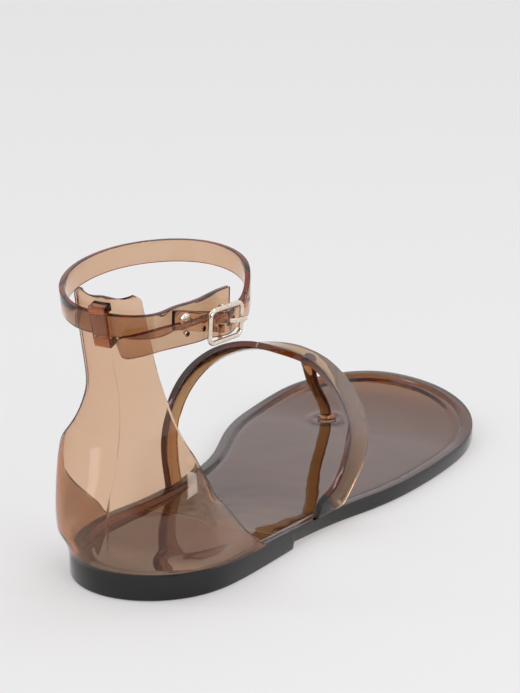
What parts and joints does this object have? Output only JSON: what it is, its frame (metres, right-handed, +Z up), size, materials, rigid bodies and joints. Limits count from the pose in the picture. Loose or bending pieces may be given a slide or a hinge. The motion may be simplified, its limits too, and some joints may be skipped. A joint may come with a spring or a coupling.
{
  "type": "jelly sandal",
  "caption": "Flat moulded toe-post sandal with a tall clear heel counter, a buckled ankle strap and a toe strap on a post, for the right foot.",
  "frame": {"origin": "on the ground, under the middle of the whole sandal's bounding box", "axes": "+Z up, +Y from the heel to the toe, +X towards the outer side of a right foot"},
  "size_m": [0.102, 0.263, 0.1166],
  "materials": {
    "smoke_pvc": "glossy, dark smoke brown, see-through",
    "clear_brown_pvc": "glossy, light brown, see-through",
    "pale_gold": "polished pale gold plating"
  },
  "bodies": {
    "root": {"sole": "smoke_pvc", "heel_counter": "clear_brown_pvc", "toe_strap": "smoke_pvc", "ankle_strap": "clear_brown_pvc", "buckle_frame": "pale_gold", "buckle_prong": "pale_gold", "buckle_fold": "clear_brown_pvc", "rivet": "pale_gold"}
  },
  "joints": []
}
